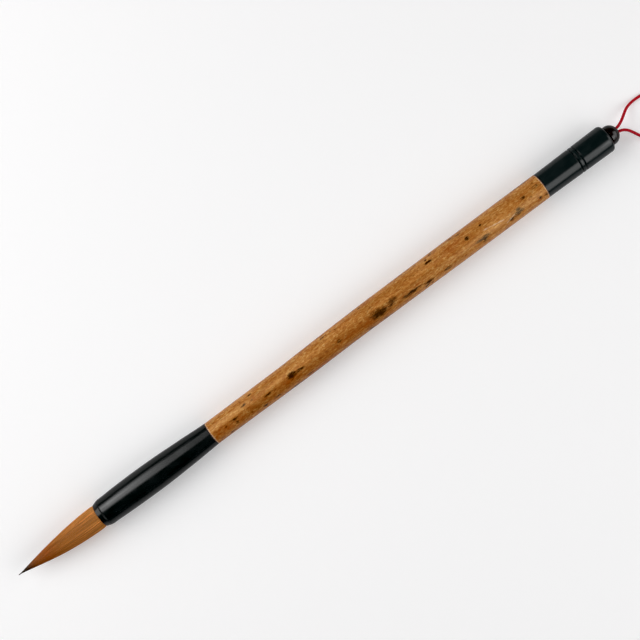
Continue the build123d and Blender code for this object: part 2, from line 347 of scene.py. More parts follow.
for title, lighting, seen in (
    ("Base Color", ((0.35, PALE), (0.98, (0.38, 0.38, 0.385, 1))), ((0.35, PALE), (0.98, PALE))),
    ("Emission Color", ((0.35, 1.0), (0.85, 0.0)), ((0.35, 1.0), (0.90, 3.6))),
):
    lighting = ramp(sheet, from_middle, *lighting)
    lighting = blend_colours(sheet, rays["Is Glossy Ray"], lighting, HALF, "MULTIPLY")
    seen = ramp(sheet, from_middle, *seen)
    to_shader(sheet, title, blend_colours(sheet, rays["Is Camera Ray"], lighting, seen))
pale_sheet.data.materials.append(sheet)

# %% Hang the light panels
def hang_panel(name, lean, near, far, brightness, reach=0.70):
    """A soft light over the axis, leaning between two angles from overhead, from near to far along X."""
    low, high = (math.radians(angle) for angle in lean)
    middle = (low + high) / 2
    data = bpy.data.lights.new(name, "AREA")
    data.shape = "RECTANGLE"
    data.size = 2 * reach * math.tan(abs(high - low) / 2)
    data.size_y = abs(far - near)
    data.energy = brightness * math.pi * data.size * data.size_y
    panel = bpy.data.objects.new(name, data)
    panel.location = ((near + far) / 2, reach * math.sin(middle), reach * math.cos(middle))
    outward = Vector((0, panel.location.y, panel.location.z))
    panel.rotation_euler = outward.to_track_quat("Z", "X").to_euler()
    bpy.context.collection.objects.link(panel)
    print(name, round(data.energy, 2), "W")
    return panel


LEFT_LAYERS = (((7, 55), -0.05), ((12, 66), -0.14), ((18, 62), -0.215))
RIGHT_LAYERS = (((-18, -71), 1.3), ((-25, -62), 1.0))
for layer, (lean, near) in enumerate(LEFT_LAYERS, start=1):
    hang_panel(f"left_panel_{layer}", lean, near, far=-0.42, brightness=1.35)
for layer, (lean, brightness) in enumerate(RIGHT_LAYERS, start=1):
    hang_panel(f"right_panel_{layer}", lean, near=0.13, far=0.46, brightness=brightness)
for name, spot, width, brightness in (
    ("tip_end_panel", (-0.76, 0.56, 0.58), 0.9, 2.5),
    ("knob_end_panel", (0.88, -0.38, 0.60), 1.1, 1.9),
):
    panel = hang_panel(name, (-27, 27), -width / 2, width / 2, brightness, reach=0.85)
    panel.location = spot
    panel.rotation_euler = panel.location.to_track_quat("Z", "X").to_euler()

DIM = (0.010, 0.010, 0.011, 1)
room = bpy.data.worlds.new("dim_room")
room.use_nodes = True
seen = add_node(room, "LightPath").outputs["Is Camera Ray"]
room_colour = blend_colours(room, seen, DIM, PALE)
room.node_tree.links.new(room_colour, room.node_tree.nodes["Background"].inputs["Color"])
bpy.context.scene.world = room
shown = bpy.context.scene.view_settings
shown.view_transform = "Standard"
shown.use_curve_mapping = True
BLACK_LEVEL = 0.007
shown.curve_mapping.black_level = (BLACK_LEVEL,) * 3
shown.curve_mapping.update()

# %% [markdown]
# ## Turning parts on the axis
# The ferrule, cap, knob and cane are turned work, so each is an outline of (x, radius) stations
# spun about the axis. Real turned edges are never sharp: every corner of an outline is eased into
# a tiny curve, which is what catches the light.
# A thin cane is never quite straight either, and this one creeps half a millimetre sideways.

# %% Helpers for turned parts
def soft_step(start, end, x):
    """0 before start, 1 past end, and an eased rise between them."""
    share = np.clip((np.asarray(x, float) - start) / (end - start), 0, 1)
    return share * share * (3 - 2 * share)


def bow(x):
    """How far the brush's axis has crept across Y at x, in metres."""
    creep = -0.16 + 0.32 * (1 - soft_step(-0.135, -0.116, x))
    creep += -0.32 * soft_step(-0.097, -0.050, x) + 0.50 * soft_step(-0.020, 0.022, x)
    return creep * MM


def ease(stations, reach, steps=3):
    """The outline with each corner rounded over reach metres on both sides."""
    eased = [stations[0]]
    for before, corner, after in zip(stations, stations[1:], stations[2:]):
        before, corner, after = (np.array(place, float) for place in (before, corner, after))
        back, onward = before - corner, after - corner
        trim = min(reach, 0.3 * np.linalg.norm(back), 0.3 * np.linalg.norm(onward))
        back *= trim / np.linalg.norm(back)
        onward *= trim / np.linalg.norm(onward)
        eased.append(tuple(corner + 1.6 * back))
        for step in range(steps + 1):
            share = step / steps
            eased.append(tuple(corner + back * (1 - share) ** 2 + onward * share**2))
        eased.append(tuple(corner + 1.6 * onward))
    return eased + [stations[-1]]


def flow(stations, count):
    """Points of a smooth outline through the stations."""
    xs, radii = np.array(stations, float).T
    slopes = np.gradient(radii, xs)
    found = []
    for x in np.linspace(xs[0], xs[-1], count):
        i = min(int(np.searchsorted(xs, x, side="right")) - 1, len(xs) - 2)
        run = xs[i + 1] - xs[i]
        t = (x - xs[i]) / run
        radius = (1 + 2 * t) * (1 - t) ** 2 * radii[i] + t * (1 - t) ** 2 * run * slopes[i]
        radius += t * t * (3 - 2 * t) * radii[i + 1] - t * t * (1 - t) * run * slopes[i + 1]
        found.append((x, radius))
    return found


def lengthwise(stations):
    """How far along an outline each station is, from 0 to 1."""
    run = np.linalg.norm(np.diff(np.array(stations, float), axis=0), axis=1)
    return np.concatenate([[0], np.cumsum(run)]) / run.sum()


def turn_part(name, front, skin, back, around=144, joined=False, shape=None):
    """Spin an outline. skin is what shows; front and back are the hidden lines before and after it."""
    shares = (0.0, 0.12 if front else 0.0, 0.88 if back else 1.0, 1.0)
    stations, along = [], []
    for part, low, high in zip((front, skin, back), shares, shares[1:]):
        if part:
            stations += part
            along += list(low + 0.01 + (high - low - 0.02) * lengthwise(part))
    xs, radii = np.array(stations, float).T
    turns = np.arange(around) * 2 * math.pi / around
    reach = np.repeat(radii[:, None], around, axis=1)
    if shape:
        outside = (np.arange(len(xs)) < len(skin) + len(front))[:, None]
        reach = reach + shape(xs[:, None], turns[None, :]) * outside
    lengthways = np.broadcast_to(xs[:, None], reach.shape)
    sideways = bow(xs)[:, None] + reach * np.sin(turns)
    grid = np.stack([lengthways, sideways, axis_z + reach * np.cos(turns)], axis=-1)
    faces, spots = grid_faces(len(xs), around, joined)
    along = np.array(along + ([1.0] if joined else []))
    spots = np.stack([along[spots[:, 0].astype(int)], 0.03 + 0.94 * spots[:, 1] / around], axis=1)
    flat_map = [spots]
    if not joined:
        for row, low in ((0, 0.0), (len(xs) - 1, 1.0)):
            ring = [row * around + column for column in range(around)]
            faces.append(ring if row == 0 else ring[::-1])
            disc = np.stack([0.5 + 0.1 * np.cos(turns), 0.012 + 0.01 * np.sin(turns)], axis=1)
            disc[:, 1] += 0.973 * low
            flat_map.append(disc if row == 0 else disc[::-1])
    return make_piece(name, grid.reshape(-1, 3), faces, np.concatenate(flat_map))


print("bow at the ferrule's rear:", round(float(bow(cane_front_x)) / MM, 2), "mm")

# %% [markdown]
# ## Black lacquer
# The ferrule and cap are turned from black horn-like plastic and polished. Polished black shows
# almost nothing but reflections, so what makes it believable is faint: turning lines round the
# part, a little haze that comes and goes, and fine handling scratches along it.

# %% Mix the black lacquer
def black_lacquer(name, haze, dark, light):
    finish = new_finish(name, Base_Color=dark, Roughness=haze, Specular_IOR_Level=0.38)
    patches = stretched_noise(finish, (6, 3, 3), detail=4)
    scratches = stretched_noise(finish, (5, 0.12, 0.12), detail=2)
    worn = combine(finish, patches, combine(finish, scratches, 0.35, "MULTIPLY"))
    to_shader(finish, "Roughness", ramp(finish, worn, (0.45, haze * 0.8), (0.95, haze * 1.5)))
    to_shader(finish, "Base Color", ramp(finish, patches, (0.35, dark), (0.75, light)))
    lines = stretched_noise(finish, (0.10, 40, 40), detail=2)
    raise_surface(finish, combine(finish, lines, combine(finish, scratches, 0.5, "MULTIPLY")), 0.004 * MM)
    return finish


ferrule_lacquer = black_lacquer("ferrule_lacquer", 0.15, paint(21, 24, 23), paint(27, 30, 30))
cap_lacquer = black_lacquer("cap_lacquer", 0.13, paint(27, 33, 33), paint(33, 39, 39))
print("lacquer nodes:", len(cap_lacquer.node_tree.nodes))

# %% [markdown]
# ## Ferrule
# The ferrule's mouth is a short coned lip with a fine groove behind it. Then comes a straight
# band where a protective cap would sit, a slow swell, and a long taper down to the cane.

# %% Turn the ferrule
def from_mouth(*pairs):
    """(x, radius) stations from millimetres behind the mouth and millimetres of radius."""
    return [(mouth_x + distance * MM, radius * MM) for distance, radius in pairs]


swell = from_mouth((4.96, 5.33), (7.7, 5.45), (12.1, 5.57), (19.2, 5.65), (24.5, 5.62))
swell += from_mouth((30.1, 5.49), (36.0, 5.24), (40.9, 5.03), (45.5, 4.76), (50.05, 4.50))
barrel = flow(swell, count=70)
lip = from_mouth((0, 4.40), (0, 4.62), (1.9, 5.26), (2.13, 5.04), (2.36, 5.33), (4.96, 5.33))
rear_edge = from_mouth((50.05, 4.50), (50.2, 4.35), (50.2, 3.48))
ferrule_skin = ease(lip, 0.10 * MM)[:-1] + barrel[:-1] + ease([barrel[-2]] + rear_edge, 0.06 * MM)[1:]
front_socket = from_mouth((14.1, 0.3), (14.1, 4.40), (0.02, 4.40))
rear_socket = from_mouth((50.1, 3.48), (38.7, 3.48), (38.7, 0.3))
ferrule_barrel = turn_part("ferrule_barrel", front_socket, ferrule_skin, rear_socket)
ferrule_barrel.data.materials.append(ferrule_lacquer)
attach(ferrule_barrel, "handle")
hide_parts("ferrule")

# %% [markdown]
# ## Tail cap and knob
# The cap is a plain black sleeve that widens towards the tail, with two fine grooves and a
# rounded rear edge. The knob behind it is a small domed button with a narrow neck, bored through
# for the cord.

# %% Turn the tail cap
def from_cap(*pairs):
    """(x, radius) stations from millimetres behind the cap's front edge."""
    return [(cane_rear_x + distance * MM, radius * MM) for distance, radius in pairs]


cap_line = from_cap((0, 3.88), (0, 5.00), (7.5, 5.09), (14.82, 5.20), (15.16, 4.72), (15.50, 5.21))
cap_line += from_cap((16.50, 5.22), (16.84, 4.73), (17.18, 5.22), (23.0, 5.30), (28.4, 5.37))
REAR_ROUNDING = 1.3
rounding = [
    (28.4 + REAR_ROUNDING * math.sin(turn), 4.07 + REAR_ROUNDING * math.cos(turn))
    for turn in np.radians([15, 30, 45, 60, 75, 88])
]
cap_skin = ease(cap_line, 0.09 * MM) + from_cap(*rounding)
cap_front = from_cap((9.5, 0.3), (9.5, 3.88), (0.02, 3.88))
cap_back = from_cap((29.7, 3.9), (29.7, 2.43), (20.7, 2.43), (20.7, 2.40), (13.6, 2.40), (13.6, 0.3))
cap_sleeve = turn_part("cap_sleeve", cap_front, cap_skin, cap_back)
cap_sleeve.data.materials.append(cap_lacquer)
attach(cap_sleeve, "handle")
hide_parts("tail_cap")

# %% Turn the knob
def from_knob(*pairs):
    """(x, radius) stations from millimetres behind the cap."""
    return [(cap_rear_x + distance * MM, radius * MM) for distance, radius in pairs]


DOME_RADIUS, DOME_HEIGHT, HOLE_RIM = 3.82, 3.56, 1.42
dome = [
    (1.15 + DOME_HEIGHT * math.sin(turn), DOME_RADIUS * math.cos(turn))
    for turn in np.linspace(0.10, math.acos(HOLE_RIM / DOME_RADIUS), 14)
]
neck = from_knob((-9.0, 2.40), (0, 2.40), (0, 2.90), (0.40, 2.90))
shoulder = from_knob((0.40, 3.70), (0.55, 3.82), (1.15, 3.82), (1.5, 3.80))
knob_skin = ease(neck + shoulder, 0.10 * MM)[:-1] + from_knob(*dome)
knob_bore = from_knob((4.46, 1.32), (4.2, 1.30), (-9.0, 1.30))
knob_button = turn_part("knob_button", [], knob_skin, knob_bore, around=96, joined=True)
knob_finish = new_finish("dark_knob", Base_Color=paint(38, 30, 26), Roughness=0.2)
figure = stretched_noise(knob_finish, (4, 0.5, 0.5), detail=4, distortion=0.6)
figured = ramp(knob_finish, figure, (0.35, paint(16, 13, 12)), (0.7, paint(36, 27, 22)))
to_shader(knob_finish, "Base Color", figured)
to_shader(knob_finish, "Roughness", ramp(knob_finish, figure, (0.3, 0.15), (0.8, 0.28)))
raise_surface(knob_finish, figure, 0.01 * MM)
knob_button.data.materials.append(knob_finish)
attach(knob_button, "handle")
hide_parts("knob")

# %% [markdown]
# ## Red silk
# Silk yarn is a bundle of filaments, so its gloss is soft and streaked along the yarn. A little
# sheen gives the pale edge that silk has when it is seen along the surface.

# %% Dye the cord
sheen = {"Sheen_Weight": 0.1, "Sheen_Roughness": 0.4, "Sheen_Tint": paint(255, 120, 130)}
silk = new_finish("red_silk", Roughness=0.55, Specular_IOR_Level=0.25, **sheen)
filaments = stretched_noise(silk, (0.25, 0.25, 0.25), detail=3)
dyed = ramp(silk, filaments, (0.3, paint(150, 3, 20)), (0.7, paint(212, 12, 38)))
to_shader(silk, "Base Color", dyed)
raise_surface(silk, filaments, 0.03 * MM)
braided_loop.data.materials.append(silk)
print("cord finished")

# %% [markdown]
# ## Cane
# The handle is mottled bamboo: honey brown, with fine fibres along it, small pores, and dark
# stains that follow the fibres. The stains are what makes one cane differ from the next, so the
# larger ones are listed one by one, as (millimetres behind the ferrule, degrees from the top,
# half length, half width, depth of colour). A few hundred small ones are strewn at random.
# Two scuffs, where the varnish is scraped off, are lines from one such place to another.

# %% Place the stains
large_stains = [
    (36.2, -1, 1.3, 0.6, 1.0), (39.0, -5, 1.4, 0.45, 0.75), (35.6, -10, 1.1, 0.35, 0.7),
    (41.0, -7, 0.8, 0.25, 0.6), (15.8, 19, 0.9, 0.28, 1.0), (19.4, 45, 0.9, 0.28, 0.8),
    (19.2, 15, 0.4, 0.25, 0.7), (15.2, 42, 0.4, 0.25, 0.6), (25.2, -9, 1.3, 0.25, 1.0),
    (22.5, -49, 1.1, 0.35, 1.0), (27.6, -46, 1.1, 0.3, 0.8), (10.1, -8, 1.2, 0.28, 0.9),
    (10.5, -28, 0.5, 0.5, 0.7), (6.1, -15, 0.4, 0.4, 0.6), (52.8, 49, 0.9, 0.3, 0.8),
    (57.3, -12, 0.8, 0.4, 0.8), (73.5, -12, 2.6, 1.0, 0.50), (75.0, -26, 1.8, 0.8, 0.75),
    (79.0, -20, 2.6, 0.7, 0.60), (81.5, -4, 1.6, 0.7, 0.45), (88.5, -32, 3.2, 0.4, 1.1),
    (96.2, -42, 1.5, 0.45, 1.0), (100.0, 31, 1.3, 0.3, 1.1), (99.5, 47, 0.5, 0.25, 0.8),
    (104.4, -45, 1.8, 0.5, 0.6), (116.1, 13, 0.8, 0.4, 1.2), (122.7, 25, 0.4, 0.3, 0.7),
    (121.0, -29, 2.6, 0.45, 1.0), (121.2, -43, 0.9, 0.7, 0.6), (133.4, -36, 1.1, 0.35, 1.0),
    (137.2, -17, 0.8, 0.4, 1.0), (136.9, -31, 1.6, 0.5, 1.0), (140.9, 8, 0.8, 0.35, 0.9),
    (146.7, 17, 1.1, 0.35, 0.8), (146.3, -37, 0.5, 0.4, 1.0), (148.8, -40, 0.8, 0.4, 0.8),
    (146.7, 37, 0.7, 0.3, 0.4), (143.4, -9, 0.5, 0.4, 0.4),
]
rusts = [
    (2.6, -21, 0.6, 0.5, 0.9), (1.3, -29, 0.6, 0.5, 0.8), (3.6, -7, 0.5, 0.4, 0.8),
    (6.0, -15, 0.5, 0.5, 0.8), (12.5, -20, 1.5, 0.8, 0.4), (70.0, -25, 3.0, 1.2, 0.5),
    (92.0, -20, 3.0, 0.8, 0.4), (60.0, -20, 4.0, 1.0, 0.4),
]
scuffs = [(122.3, -2, 131.0, -17, 0.9), (130.6, -40, 135.4, -25, 0.8)]
STAIN_WIDTH, STAIN_DEPTH = 1.25, 1.2
stains = [
    (distance, degrees, half_length, STAIN_WIDTH * half_width, STAIN_DEPTH * depth)
    for distance, degrees, half_length, half_width, depth in large_stains
]
random.seed(11)
for _ in range(230):
    spot = (random.uniform(1, 148), random.uniform(55, 305), random.uniform(0.3, 1.3))
    stains.append((*spot, random.uniform(0.12, 0.35), random.uniform(0.4, 1.0)))
for _ in range(120):
    spot = (random.uniform(1, 148), random.uniform(-180, 180), random.uniform(0.25, 0.9))
    stains.append((*spot, random.uniform(0.12, 0.24), random.uniform(0.3, 0.7)))
for _ in range(16):
    spot = (random.uniform(5, 145), random.uniform(70, 290), random.uniform(1.8, 4.0))
    stains.append((*spot, random.uniform(0.5, 1.1), random.uniform(0.6, 1.0)))
for _ in range(90):
    spot = (random.uniform(2, 147), random.uniform(-180, 180), random.uniform(0.8, 4.5))
    rusts.append((*spot, random.uniform(0.35, 1.1), random.uniform(0.1, 0.5)))
print(len(stains), "stains,", len(rusts), "rust patches,", len(scuffs), "scuffs")

# %% Turn the cane
CANE_AROUND = 112
CANE_STEP = 0.29 * MM
cane_radii = [(0.12, 4.46), (12, 4.50), (24, 4.56), (34, 4.61), (41, 4.70), (52, 4.77)]
cane_radii += [(64, 4.83), (75, 4.91), (92, 4.97), (103, 5.04), (125, 5.07), (149.58, 5.08)]
cane_line = flow(
    [(cane_front_x + distance * MM, radius * MM) for distance, radius in cane_radii],
    count=int(cane_length / CANE_STEP),
)
MEAN_RADIUS = 4.8


def spread_marks(marks, xs, turns):
    """How strongly the marks colour each point of the cane, from 0 up."""
    colour = np.zeros(np.broadcast_shapes(xs.shape, turns.shape))
    for distance, degrees, half_length, half_width, depth in marks:
        along = (xs - cane_front_x) / MM - distance
        near = np.abs(along[:, 0]) < 3 * half_length
        swing = (turns - math.radians(degrees) + math.pi) % (2 * math.pi) - math.pi
        spread = (along[near] / half_length) ** 2 + (MEAN_RADIUS * swing / half_width) ** 2
        colour[near] += depth * np.exp(-0.7 * spread)
    return colour


def cane_shape(xs, turns):
    """Shallow pits under the stains and a slow, uneven roundness."""
    uneven = 0.02 * np.sin(2 * turns + xs * 40) + 0.012 * np.sin(3 * turns - xs * 95)
    inside = (xs > cane_front_x + 0.3 * MM) & (xs < cane_rear_x - 0.3 * MM)
    return (uneven * 0.6 - 0.025 * np.clip(spread_marks(stains, xs, turns), 0, 1.5)) * inside * MM


edges = [(cane_front_x - 11 * MM, 3.45 * MM), (cane_front_x, 3.45 * MM), (cane_front_x, 4.34 * MM)]
tail = [(cane_rear_x, 4.96 * MM), (cane_rear_x, 3.85 * MM), (cane_rear_x + 9 * MM, 3.85 * MM)]
bore = [(cane_rear_x + 9 * MM, 2.1 * MM), (cane_front_x - 11 * MM, 2.1 * MM)]
cane_handle = turn_part(
    "cane_handle", edges, cane_line, tail + bore, around=CANE_AROUND, joined=True, shape=cane_shape
)

# %% Fold the cane's flat map and store its stains and painted shade
BANDS = 2
layer = cane_handle.data.uv_layers["OFBake"].data
flat = np.zeros(len(layer) * 2, np.float32)
layer.foreach_get("uv", flat)
flat = flat.reshape(-1, 4, 2)
band = np.minimum((flat[:, :, 0].mean(axis=1) * BANDS).astype(int), BANDS - 1)
flat[:, :, 0] = 0.01 + 0.98 * np.clip(flat[:, :, 0] * BANDS - band[:, None], 0, 1)
flat[:, :, 1] = (flat[:, :, 1] + band[:, None]) / BANDS
layer.foreach_set("uv", flat.ravel())

places = np.array([vertex.co for vertex in cane_handle.data.vertices])
rows = places[:, 0].reshape(-1, CANE_AROUND)[:, :1]
turns = np.arange(CANE_AROUND)[None, :] * 2 * math.pi / CANE_AROUND
colour = np.ones((len(places), 4), np.float32)
colour[:, 0] = spread_marks(stains, rows, turns).ravel()
colour[:, 1] = spread_marks(rusts, rows, turns).ravel()
BARE_RIM = 0.50 * MM
to_cut = np.minimum(places[:, 0] - cane_front_x, cane_rear_x - places[:, 0])
colour[:, 2] = np.exp(-((to_cut / BARE_RIM) ** 2))
REAR_RADIUS, SCUFF_WIDTH = 4.9, 0.24
for begin, begin_degrees, end, end_degrees, depth in scuffs:
    along = (rows - cane_front_x) / MM
    line = np.radians(np.interp(along, (begin, end), (begin_degrees, end_degrees)))
    swing = (turns - line + math.pi) % (2 * math.pi) - math.pi
    ends = soft_step(begin - 0.5, begin + 0.8, along) * soft_step(end + 0.5, end - 0.8, along)
    scraped = depth * ends * np.exp(-((REAR_RADIUS * swing / SCUFF_WIDTH) ** 2))
    colour[:, 2] = np.maximum(colour[:, 2], scraped.ravel())
# Painted shade: the alpha channel darkens the side away from the left panels, fully over the first 55 mm
# and fading to a fifth by 105 mm.
painted_shade_side = soft_step(0.10, -0.14, np.sin(np.broadcast_to(turns, (len(rows), CANE_AROUND))))
colour[:, 3] = (painted_shade_side * (1 - 0.8 * soft_step(55, 105, (rows - cane_front_x) / MM))).ravel()
cane_marks_and_shade = cane_handle.data.attributes.new("cane_marks_and_shade", "FLOAT_COLOR", "POINT")
cane_marks_and_shade.data.foreach_set("color", colour.ravel())
print("deepest stain", round(float(colour[:, 0].max()), 2))

# %% [markdown]
# ### The cane's finish
# Several scales of colour are laid over each other: slow drifts between honey and brown, finer
# mottling from rust to pale yellow, fibres a quarter of a millimetre wide, and small dark pores.
# The stored stains are multiplied by noise before they are cut off, so that their edges fray
# along the grain. Painted shade darkens the cane's side away from the left panels over its front
# half. The scuffs and a thread along both cut ends show bare, pale cane without varnish.
# The varnish is amber, which tints what it reflects.

# %% Mix the cane's finish
AMBER = (1.0, 0.69, 0.33, 1)
varnish = new_finish("varnished_cane", Roughness=0.18, Specular_IOR_Level=0.62, Specular_Tint=AMBER)
drift = stretched_noise(varnish, (14, 2.2, 2.2), detail=3)
honey = ramp(
    varnish,
    drift,
    (0.30, paint(150, 92, 40)),
    (0.50, paint(182, 117, 58)),
    (0.70, paint(210, 149, 88)),
)
mottle = stretched_noise(varnish, (1.7, 0.75, 0.75), detail=4, roughness=0.66, distortion=0.6)
mottled = ramp(
    varnish,
    mottle,
    (0.30, paint(120, 58, 24)),
    (0.42, paint(172, 104, 46)),
    (0.55, paint(198, 137, 68)),
    (0.68, paint(230, 186, 116)),
)
wood = blend_colours(varnish, 0.6, honey, mottled)
fibres = stretched_noise(varnish, (16, 0.24, 0.24), detail=3, roughness=0.6)
streaks = ramp(varnish, fibres, (0.30, 0.78), (0.50, 1.0), (0.70, 1.14))
wood = blend_colours(varnish, 1.0, wood, streaks, "MULTIPLY")
pores = stretched_noise(varnish, (0.9, 0.30, 0.30), detail=2)
pores = ramp(varnish, pores, (0.62, 0.0), (0.70, 0.7))
wood = blend_colours(varnish, pores, wood, paint(100, 50, 18))
stored = add_node(varnish, "Attribute", attribute_name="cane_marks_and_shade")
split = add_node(varnish, "SeparateColor", {"Color": stored.outputs["Color"]})
frayed = stretched_noise(varnish, (0.9, 0.22, 0.22), detail=4, roughness=0.65)
torn = stretched_noise(varnish, (1.6, 0.6, 0.6), detail=2)
uneven = combine(varnish, combine(varnish, frayed, torn), 1.0, "SUBTRACT")
ragged = combine(varnish, uneven, 3.0, "MULTIPLY")
# Painted shade: the stored side mask, frayed by noise, darkens that side of the cane.
painted_shade = combine(varnish, stored.outputs["Alpha"], combine(varnish, ragged, 0.25, "MULTIPLY"))
painted_shade = ramp(varnish, painted_shade, (0.15, 0.0), (0.85, 1.0))
wood = blend_colours(varnish, painted_shade, wood, (0.74, 0.65, 0.54, 1), "MULTIPLY")
patchy = combine(varnish, split.outputs["Red"], combine(varnish, ragged, 1.0), "MULTIPLY")
stain = ramp(varnish, patchy, (0.20, 0.0), (0.55, 0.65), (1.25, 1.0))
rusty = combine(varnish, split.outputs["Green"], combine(varnish, ragged, 0.4, "MULTIPLY"))
rust = ramp(varnish, rusty, (0.12, 0.0), (0.70, 0.8))
wood = blend_colours(varnish, rust, wood, paint(150, 72, 22))
wood = blend_colours(varnish, stain, wood, paint(58, 29, 14))
bare = combine(varnish, split.outputs["Blue"], combine(varnish, ragged, 0.35, "MULTIPLY"))
bare = ramp(varnish, bare, (0.35, 0.0), (0.85, 0.8))
wood = blend_colours(varnish, bare, wood, paint(232, 200, 164))
to_shader(varnish, "Base Color", wood)
to_shader(varnish, "Roughness", ramp(varnish, fibres, (0.3, 0.15), (0.8, 0.26)))
relief = combine(varnish, fibres, combine(varnish, stain, -0.6, "MULTIPLY"))
raise_surface(varnish, relief, 0.012 * MM)
cane_handle.data.materials.append(varnish)
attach(cane_handle, "handle")
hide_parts("bamboo_handle")
print("cane nodes:", len(varnish.node_tree.nodes))

# %% [markdown]
# ### Glue lines
# Where the cane enters the ferrule and the cap, a hair-thin line of dark glue has squeezed out.
# Each is a tiny ring that half sinks into the joint.

# %% Run the glue lines
glue = new_finish("dark_glue", Base_Color=paint(52, 20, 12), Roughness=0.35)
beads = stretched_noise(glue, (0.5, 0.5, 0.5), detail=3)
dried = ramp(glue, beads, (0.35, paint(36, 14, 10)), (0.7, paint(84, 36, 20)))
to_shader(glue, "Base Color", dried)
raise_surface(glue, beads, 0.03 * MM)
LINE_WIDTH, LINE_HEIGHT = 0.16 * MM, 0.075 * MM
for name, x, radius in (
    ("front_glue_line", cane_front_x + 0.06 * MM, 4.42 * MM),
    ("rear_glue_line", cane_rear_x - 0.08 * MM, 5.03 * MM),
):
    ring = [
        (x + LINE_WIDTH * math.cos(turn), radius + LINE_HEIGHT * math.sin(turn))
        for turn in np.arange(8) * math.pi / 4
    ]
    line = turn_part(name, [], ring[::-1], [], around=120, joined=True)
    line.data.materials.append(glue)
    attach(line, "handle")

# %% [markdown]
# ## The tuft's form
# The tuft is some thousands of hairs dressed to a point. Their ends are of different lengths, so
# the outline stays full near the ferrule, then draws in more and more to the tip.
# At the very tip a wisp of the longest hairs stands out past the rest.
# Modelling every hair would be wasteful, as most are hidden. A grooved inner form carries the
# bulk, and fine tapered strands cover it.

# %% The tuft's outline
HAIR_BULGE = 4.70
HAIR_TIP = 0.115
HAIR_WISP = 0.8 * MM
SWELL, DRAW_IN = 2.0, 1.12


def tuft_radius(distance):
    """Radius of the dressed tuft, in metres, at a distance in front of the mouth."""
    share = np.clip(np.asarray(distance, float) / hair_length, 0, 1)
    opening = 1 - 0.30 / HAIR_BULGE * np.clip(1 - np.asarray(distance, float) / (0.7 * MM), 0, 1) ** 2
    return (HAIR_TIP + (HAIR_BULGE - HAIR_TIP) * opening * (1 - share**SWELL) ** DRAW_IN) * MM


print("radius half-way:", round(float(tuft_radius(hair_length / 2)) / MM, 2), "mm")

# %% [markdown]
# ## Strands
# Each strand starts inside the ferrule, follows the outline and stops at its own length. It
# drifts a few degrees round the tuft, and neighbours drift together, which gathers them into
# locks. A strand is a three-sided taper, the least that still catches light as a round hair.
# The tuft bends at two places, so the strands are cut between the two bends, into a near
# length and a far length that meet where neither bends.

# %% Comb the strands
random.seed(7)
STRANDS = 1500
GOLDEN_TURN = 0.381966
SPLIT = 14.0 * MM
INSIDE = -1.5 * MM


def lock_drift(turn, distance):
    """How far neighbouring hairs drift together, in radians."""
    here = Vector((math.cos(turn) * 2.2, math.sin(turn) * 2.2, distance / (16 * MM)))
    return 0.16 * noise.noise(here)


def lock_depth(turn, distance):
    """Grooves between locks, from 0 to 1."""
    here = Vector((math.cos(turn) * 4.5, math.sin(turn) * 4.5, 5 + distance / (30 * MM)))
    return max(0.0, noise.noise(here))


strands = []
for index in range(STRANDS):
    depth = random.random() ** 1.4
    full = random.random() < 0.6
    if full:
        reach = hair_length + HAIR_WISP - random.random() ** 2 * MM
    else:
        reach = random.uniform(17, 35) * MM
    strands.append(
        {
            "turn": 2 * math.pi * (index + random.uniform(-0.8, 0.8)) * GOLDEN_TURN,
            "depth": 0.02 + 0.10 * depth,
            "length": reach,
            "taper": 0.2 if full else 0.88,
            "width": random.uniform(0.085, 0.15) * MM,
            "wander": random.uniform(-0.07, 0.07),
            "wave": (random.uniform(0, 6.28), random.uniform(0.004, 0.016), random.uniform(9, 20)),
            "tone": random.random(),
            "shade": random.random(),
        }
    )
for degrees, reach in ((-23, 12), (-20, 8.5), (31, 10), (118, 11), (205, 9)):
    stray = {"turn": math.radians(degrees), "length": reach * MM, "width": 0.16 * MM, "depth": -0.01}
    strands.append(strands[0] | stray | {"shade": 1.0, "wander": 0.12, "taper": 0.9})
print(len(strands), "strands")

# %% Build one length of the tuft
def strand_spot(strand, distance):
    """Centre of a strand at a distance in front of the mouth, and its place round the tuft."""
    phase, swing, wavelength = strand["wave"]
    turn = strand["turn"] + strand["wander"] * distance / hair_length
    turn += lock_drift(strand["turn"], distance) * distance / hair_length
    turn += swing * math.sin(phase + distance / MM / wavelength * 2 * math.pi)
    radius = float(tuft_radius(distance)) * (1 - strand["depth"] - 0.05 * lock_depth(turn, distance))
    radius = min(radius - 0.03 * MM, 4.30 * MM) if distance < 0 else max(radius - 0.04 * MM, 0.012 * MM)
    x = mouth_x - distance
    return np.array([x, float(bow(x)) + radius * math.sin(turn), axis_z + radius * math.cos(turn)]), turn


MAP_ROWS = MAP_COLUMNS = 40


